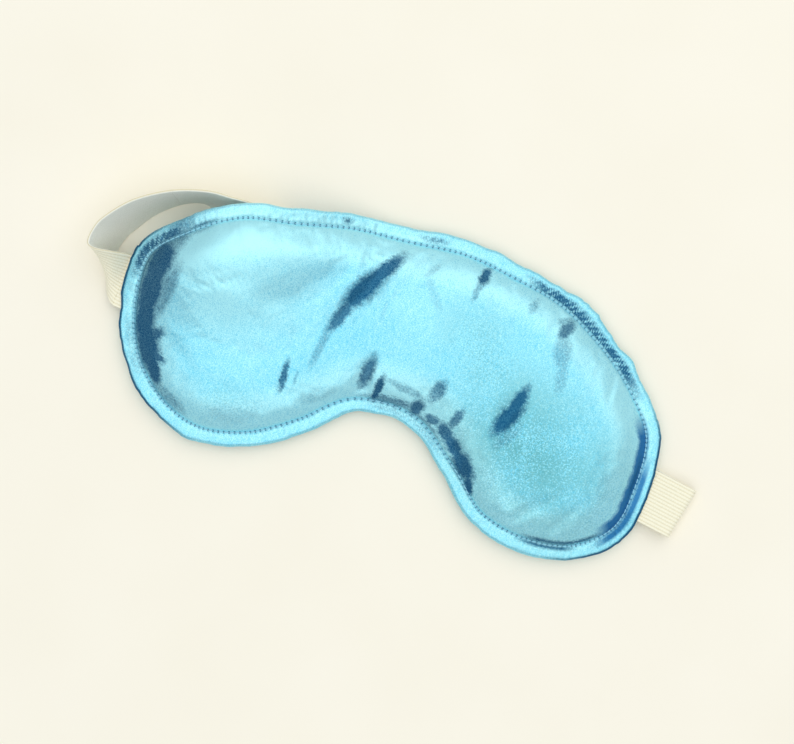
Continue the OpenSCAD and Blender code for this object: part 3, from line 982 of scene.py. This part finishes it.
def stitch_row(name, places, slant, material):
    """Stitches from hole to hole, placed by Geometry Nodes on a mesh of one point a stitch."""
    nxt = np.roll(places, -1, 0)
    mid = 0.5 * (places + nxt)
    run = nxt - places
    length = np.linalg.norm(run, axis=1)
    mesh = bpy.data.meshes.new(name)
    mesh.from_pydata((mid * MM).tolist(), [], [])
    turn = mesh.attributes.new("turn", "FLOAT_VECTOR", "POINT")
    heading = np.arctan2(run[:, 1], run[:, 0]) + slant
    pitch = -np.arcsin(np.clip(run[:, 2] / length, -1, 1))
    rot = np.column_stack([np.zeros(len(mid)), pitch, heading]).astype(np.float32)
    turn.data.foreach_set("vector", rot.ravel())
    size = mesh.attributes.new("size", "FLOAT_VECTOR", "POINT")
    flip = 1.0 if "needle" in name else -1.0
    scale = np.column_stack([length * 0.96, np.full(len(mid), THREAD * 1.15),
                             np.full(len(mid), flip * THREAD)]).astype(np.float32) * MM
    size.data.foreach_set("vector", scale.ravel())
    obj = bpy.data.objects.new(name, mesh)
    bpy.context.scene.collection.objects.link(obj)

    tree = bpy.data.node_groups.new("row_of_stitches", "GeometryNodeTree")
    tree.interface.new_socket("Geometry", in_out="INPUT", socket_type="NodeSocketGeometry")
    tree.interface.new_socket("Stitch", in_out="INPUT", socket_type="NodeSocketObject")
    tree.interface.new_socket("Geometry", in_out="OUTPUT", socket_type="NodeSocketGeometry")
    gin = tree.nodes.new("NodeGroupInput")
    gout = tree.nodes.new("NodeGroupOutput")
    info = tree.nodes.new("GeometryNodeObjectInfo")
    info.inputs["As Instance"].default_value = True
    put = tree.nodes.new("GeometryNodeInstanceOnPoints")
    real = tree.nodes.new("GeometryNodeRealizeInstances")
    paint = tree.nodes.new("GeometryNodeSetMaterial")
    paint.inputs["Material"].default_value = material
    named = []
    for key in ("turn", "size"):
        n = tree.nodes.new("GeometryNodeInputNamedAttribute")
        n.data_type = "FLOAT_VECTOR"
        n.inputs["Name"].default_value = key
        named.append(n)
    link = tree.links.new
    link(gin.outputs["Geometry"], put.inputs["Points"])
    link(gin.outputs["Stitch"], info.inputs["Object"])
    link(info.outputs["Geometry"], put.inputs["Instance"])
    link(named[0].outputs["Attribute"], put.inputs["Rotation"])
    link(named[1].outputs["Attribute"], put.inputs["Scale"])
    link(put.outputs["Instances"], real.inputs["Geometry"])
    link(real.outputs["Geometry"], paint.inputs["Geometry"])
    link(paint.outputs["Geometry"], gout.inputs["Geometry"])
    mod = obj.modifiers.new("stitches", "NODES")
    mod.node_group = tree
    stitch = stitch_mesh()
    for item in tree.interface.items_tree:
        if item.item_type == "SOCKET" and item.in_out == "INPUT" and item.name == "Stitch":
            mod[item.identifier] = stitch
    dep = bpy.context.evaluated_depsgraph_get()
    made = bpy.data.meshes.new_from_object(obj.evaluated_get(dep))
    obj.modifiers.clear()
    old = obj.data
    obj.data = made
    bpy.data.meshes.remove(old)
    if not made.materials:
        made.materials.append(material)
    if flip < 0:
        made.flip_normals()
    bpy.data.objects.remove(stitch)
    bpy.data.node_groups.remove(tree)
    return obj


HOLE_RISE = 0.26        # lift of the stitches off the bottoms of the needle dimples


def hole_places():
    """The needle holes: on the stitch line, at equal steps round it."""
    ring = front_rings[NEAR.index(BORDER)]
    n = len(ring)
    at = np.arange(HOLES) / HOLES * n
    i = np.floor(at).astype(int) % n
    j = (i + 1) % n
    t = (at - np.floor(at))[:, None]
    p = ring[i] * (1 - t) + ring[j] * t
    p[:, 2] += HOLE_RISE
    return p


needle = stitch_row("needle_stitches", hole_places(), 0.10, SEWING)


def under_holes():
    at = np.arange(HOLES) / HOLES * NR
    i = np.floor(at).astype(int) % NR
    p = plan(RIM, NORMAL, RAY, DEPTH, BORDER)[i]
    d = np.full(len(p), BORDER)
    return np.column_stack([p, bottom_z(p, d) + 0.05])


bobbin = stitch_row("bobbin_stitches", under_holes(), -0.10, SEWING)


def seam_places():
    """Needle holes of the hidden seam that joins the two panels."""
    count = int(round(EDGE_LEN * SEAM_SHARE / SEAM_STITCH))
    at = np.arange(count) / count * NR
    i = np.floor(at).astype(int) % NR
    p = RIM[i] + NORMAL[i] * SEAM_IN
    return np.column_stack([p, mid_z(p)])


hidden_seam = stitch_row("needle_seam_stitches", seam_places(), 0.0, SEWING)


# ---------------------------------------------------------------- elastic strap
RIBS = 14
RIB_PITCH = 1.27
RIB_POINTS = 6
BEAD = 0.9              # length of one weave bead along a rib


def band_section():
    """Points across one face: place, share of the full thickness, and rib number."""
    half = RIBS * RIB_PITCH / 2
    u = [-BAND_W / 2, -BAND_W / 2 + 0.12, -BAND_W / 2 + 0.4, -BAND_W / 2 + 0.75]
    h = [0.25, 0.78, 1.0, 0.9]
    number = [-1] * 4
    for k in range(RIBS * RIB_POINTS + 1):
        at = k / RIB_POINTS
        u.append(-half + at * RIB_PITCH)
        h.append(0.55 + 0.4 * abs(math.sin(math.pi * at)) ** 0.6)
        number.append(min(int(at), RIBS - 1))
    u += [-x for x in u[3::-1]]
    h += h[3::-1]
    number += [-1] * 4
    return np.array(u), np.array(h), np.array(number)


BAND_U, BAND_H, BAND_RIB = band_section()


def band(name, mids, across, drop=None, begin=0.0):
    """Ribbed band along rings of a middle and a direction across."""
    n = len(mids)
    along = unit(np.gradient(mids, axis=0))
    across = unit(across)
    up = unit(np.cross(along, across))
    s = np.concatenate([[0], np.cumsum(np.linalg.norm(np.diff(mids, axis=0), axis=1))])
    phase = (begin + s[:, None]) / BEAD + BAND_RIB[None] / 3.0
    bead = np.where(BAND_RIB[None] >= 0, 0.5 + 0.5 * np.cos(2 * np.pi * phase), 0.5)
    thick = BAND_T / 2 * (BAND_H[None] - 0.16 * (1 - bead) * (BAND_RIB[None] >= 0))
    core = mids[:, None] + BAND_U[None, :, None] * across[:, None]
    top = core + (0.5 * thick + 0.45 * BAND_T / 2)[..., None] * up[:, None]
    low = core - thick[..., None] * up[:, None]
    pts = np.concatenate([top, low[:, ::-1]], 1)
    m = pts.shape[1]
    pts = pts.reshape(-1, 3)
    if drop is not None:
        pts[:, 2] += drop(pts, np.repeat(s, m))
    faces = []
    for k in range(n - 1):
        faces += band_faces(m, k, k + 1).tolist()
    w = len(BAND_U)
    for base, turn in ((0, False), ((n - 1) * m, True)):
        for k in range(w - 1):
            f = [base + k, base + m - 1 - k, base + m - 2 - k, base + k + 1]
            faces.append(f[::-1] if turn else f)
    obj = new_piece(name, pts, [f[::-1] for f in faces], ELASTIC)
    add_number(obj, "rib", np.tile(np.concatenate([BAND_H, BAND_H[::-1]]), n))
    add_number(obj, "inner_face", np.tile(np.repeat([1.0, 0.0], len(BAND_U)), n))
    add_number(obj, "bead", np.concatenate([bead, bead[:, ::-1]], 1).ravel())
    return obj


def crossways(yaw, tilt):
    yaw = np.radians(yaw)
    tilt = np.radians(tilt)
    return np.stack([np.cos(tilt) * np.cos(yaw), np.cos(tilt) * np.sin(yaw), np.sin(tilt)], -1)


def resample(mids, across, step):
    """Rings at equal steps along the band."""
    s = np.concatenate([[0], np.cumsum(np.linalg.norm(np.diff(mids, axis=0), axis=1))])
    t = np.linspace(0, s[-1], max(2, int(round(s[-1] / step)) + 1))
    mids = np.stack([np.interp(t, s, mids[:, k]) for k in range(3)], 1)
    across = np.stack([np.interp(t, s, across[:, k]) for k in range(3)], 1)
    return mids, unit(across)


def loop_line(first, last):
    tilt = np.radians(LOOP[:, 4])
    mid = np.column_stack([LOOP[:, :2], LOOP[:, 2] + BAND_W / 2 * np.sin(tilt)
                           + BAND_T / 2 * np.cos(tilt)])
    wide = crossways(LOOP[:, 3], LOOP[:, 4])
    top = len(LOOP) - 1
    t = (np.arange(24) / 24)[:, None]
    mids = []
    across = []
    for i in range(first, last):
        four = [min(max(i + k, 0), top) for k in (-1, 0, 1, 2)]
        mids.append(spline(*mid[four], t))
        across.append(spline(*wide[four], t))
    mids.append(mid[last][None])
    across.append(wide[last][None])
    return np.concatenate(mids), unit(np.concatenate(across))


SEAM_W = crossways(SWING_YAW, 0)
SEAM_V = np.array([SEAM_W[1], -SEAM_W[0], 0.0])
SEAM_GAP = 0.6          # from the edge of the free strap to its sewn-in end
TAB_Z = SEAM_Z + 0.7
FOLD_R = (TAB_Z - BAND_T / 2) / 2


def strap_loop():
    """The standing loop in two lengths: the first runs from the seam, the second swings."""
    mids, across = loop_line(0, 12)
    start = np.append(END_L, mids[0, 2])
    mids = np.concatenate([[start + SEAM_V * SEAM_GAP], mids])
    across = np.concatenate([[across[0]], across])
    mids, across = resample(mids, across, 0.3)
    at_seam = np.array([END_L[0], END_L[1]])

    def drop(p, s):
        off = p[:, :2] - at_seam
        v = off @ SEAM_W[:2]
        line = mids[0, 2] + v * math.tan(math.radians(LOOP[0, 4]))
        here = np.column_stack([END_L + v[:, None] * SEAM_W[None, :2]])
        return (mid_z(here) - line) * (1 - ease(s / 6.0))

    cut = int(np.argmin(np.hypot(*(mids[:, :2] - LOOP[LOOP_CUT, :2]).T)))
    far = np.linalg.norm(np.diff(mids[:cut + 1], axis=0), axis=1).sum()
    root = band("strap_loop", mids[:cut + 1], across[:cut + 1], drop)
    return root, band("strap_turn", mids[cut:], across[cut:], begin=far)


def run_end():
    lean = np.radians(TAB_LEAN)
    head = np.array([np.cos(lean), np.sin(lean)])
    fold_at = END_R + TAB_OUT * head
    return head, fold_at


def strap_run():
    mids, across = loop_line(12, 16)
    head, fold_at = run_end()
    low = np.append(fold_at - FOLD_R * head, BAND_T / 2)
    bend = np.append(END_R - 12 * head + [0, 1.0], BAND_T / 2)
    t = np.linspace(0.1, 1, 12)[:, None]
    last = spline(mids[-25], mids[-1], bend, low, t)
    mids = np.concatenate([mids, last, [low]])
    across = np.concatenate([across, np.repeat([crossways(76.5, 0)], len(last), 0),
                             [crossways(78, 0)]])
    mids, across = resample(mids, across, 1.0)
    return band("strap_run", mids, across)


def strap_tab():
    head, fold_at = run_end()
    mids = []
    across = []
    for a in np.radians(np.linspace(-90, 90, 25)):
        mids.append(np.append(fold_at - FOLD_R * (1 - np.cos(a)) * head,
                              BAND_T / 2 + FOLD_R * (1 + np.sin(a))))
        across.append(crossways(78, 0))
    for f in np.linspace(0.85, 0, 45):
        mids.append(np.append(END_R + f * (fold_at - END_R),
                              SEAM_Z + (TAB_Z - SEAM_Z) * ease(1.3 * f)))
        across.append(crossways(SWING_YAW - 7 * f, 0))
    mids.append(np.append(END_R - SEAM_V[:2] * SEAM_GAP, SEAM_Z))
    across.append(crossways(SWING_YAW, 0))
    mids, across = resample(np.array(mids), np.array(across), 0.28)
    return band("strap_tab", mids, across)


def sewn_end(name, at, way):
    """End of the strap held in the seam, following the lie of the border."""
    s = np.linspace(SEAM_GAP, SEAM_GAP + TAIL, 28)
    mids = np.column_stack([at + way * s[:, None] * SEAM_V[None, :2], np.full(len(s), SEAM_Z)])
    across = np.repeat(SEAM_W[None], len(s), 0)
    if way > 0:
        mids = mids[::-1]

    def drop(p, _):
        return mid_z(p) - SEAM_Z

    return band(name, mids, across, drop)


loop, turn = strap_loop()
run = strap_run()
tab = strap_tab()
end_left = sewn_end("strap_end_in_left_seam", END_L, 1)
end_right = sewn_end("strap_end_in_right_seam", END_R, -1)


# ---------------------------------------------------------------- bodies and nodes
for piece, node, slot in (
        (front, "front_panel", "satin"), (back, "back_panel", "satin"),
        (front_pad, "front_wadding", "wadding"), (back_pad, "back_wadding", "wadding"),
        (lining, "blackout_lining", "lining"), (hidden_seam, "seam_thread", "thread"),
        (needle, "needle_thread", "thread"), (bobbin, "bobbin_thread", "thread"),
        (end_left, "strap_end_left", "elastic"), (end_right, "strap_end_right", "elastic")):
    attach(piece, "mask")
    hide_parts(node)
for piece in (run, turn):
    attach(piece, "strap")
    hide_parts("elastic_strap")
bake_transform(loop)
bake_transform(tab)
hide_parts("elastic_strap")
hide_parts("elastic_strap")


# ---------------------------------------------------------------- table, light and camera
def table_top():
    pts = [(x, y, -0.25) for x in (-4000, 4000) for y in (-4000, 4000)]
    obj = new_piece("table_top", pts, [[0, 2, 3, 1]], TABLE_TOP, False)
    return obj


def soft_light(name, size, at, aim, power, colour):
    data = bpy.data.lights.new(name, "AREA")
    data.shape = "RECTANGLE"
    data.size, data.size_y = size
    data.energy = power
    data.color = colour
    obj = bpy.data.objects.new(name, data)
    obj.location = at
    way = Vector(aim) - Vector(at)
    obj.rotation_euler = way.to_track_quat("-Z", "Y").to_euler()
    bpy.context.scene.collection.objects.link(obj)
    return obj


VIEW_AT = (0.0005, -0.0025, 0.480)
VIEW_TURN = 19.6        # the mask lies turned to the view
VIEW_LENS = 58.64
ROOM_COLOUR = (0.88, 0.95, 1.04, 1)
ROOM_LIGHT = 0.53
WINDOW_COLOUR = (1.0, 0.97, 0.90)
WINDOW_WATTS = 24

table_top()
soft_light("window", (2.0, 3.6), (0.05, 0.25, 1.35), (0, 0, 0), WINDOW_WATTS, WINDOW_COLOUR)
bpy.context.scene.view_settings.view_transform = "Standard"
world = bpy.data.worlds.new("room")
world.use_nodes = True
world.node_tree.nodes["Background"].inputs[0].default_value = ROOM_COLOUR
world.node_tree.nodes["Background"].inputs[1].default_value = ROOM_LIGHT
bpy.context.scene.world = world

camera = bpy.data.cameras.new("camera")
camera.sensor_width = 36
camera.lens = VIEW_LENS
camera.clip_start = 0.01
shot = bpy.data.objects.new("camera", camera)
shot.location = VIEW_AT
shot.rotation_euler = (0, 0, math.radians(VIEW_TURN))
bpy.context.scene.collection.objects.link(shot)
bpy.context.scene.camera = shot
